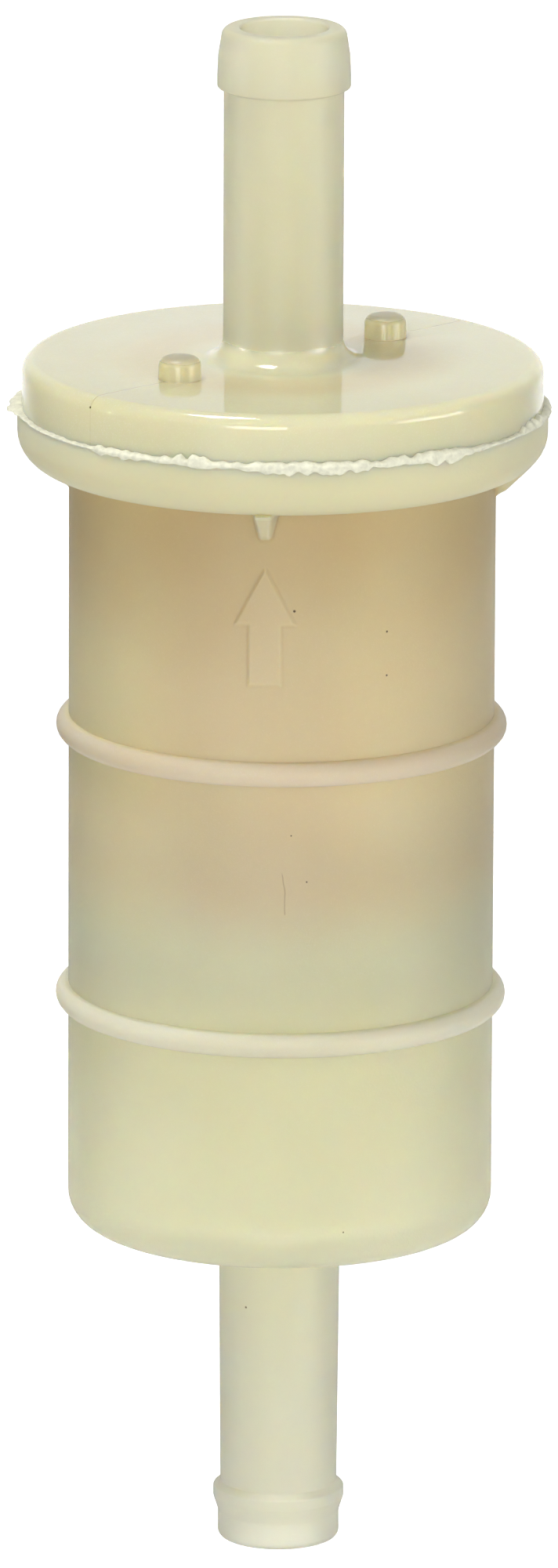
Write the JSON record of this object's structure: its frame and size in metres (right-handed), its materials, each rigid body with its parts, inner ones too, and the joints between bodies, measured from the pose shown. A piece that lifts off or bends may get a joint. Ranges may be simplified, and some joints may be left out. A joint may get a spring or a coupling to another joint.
{
  "type": "inline fuel filter",
  "caption": "Translucent nylon inline fuel filter: round bowl with strap beads, welded flanged cap, barbed hose stems at both ends and a pleated paper element inside.",
  "frame": {"origin": "centre of the inlet stem's tip, on the filter's axis", "axes": "+Z along the axis in the direction of flow, towards the outlet; -Y towards the raised flow arrow"},
  "size_m": [0.037, 0.037, 0.1048],
  "materials": {
    "nylon": "translucent natural nylon",
    "nylon_flash": "torn, whitened",
    "filter_paper": "resin-treated paper",
    "end_plate": "satin",
    "glue": "glossy",
    "core_plastic": "satin",
    "seal_rubber": "matt"
  },
  "bodies": {
    "root": {"bowl": "nylon", "cap": "nylon", "weld_flash": "nylon_flash", "pleated_paper": "filter_paper", "paper_seam_glue": "glue", "core_tube": "core_plastic", "upper_end_plate": "end_plate", "lower_end_plate": "end_plate", "upper_glue_ring": "glue", "lower_glue_disc": "glue", "spigot_seal": "seal_rubber"}
  },
  "joints": []
}
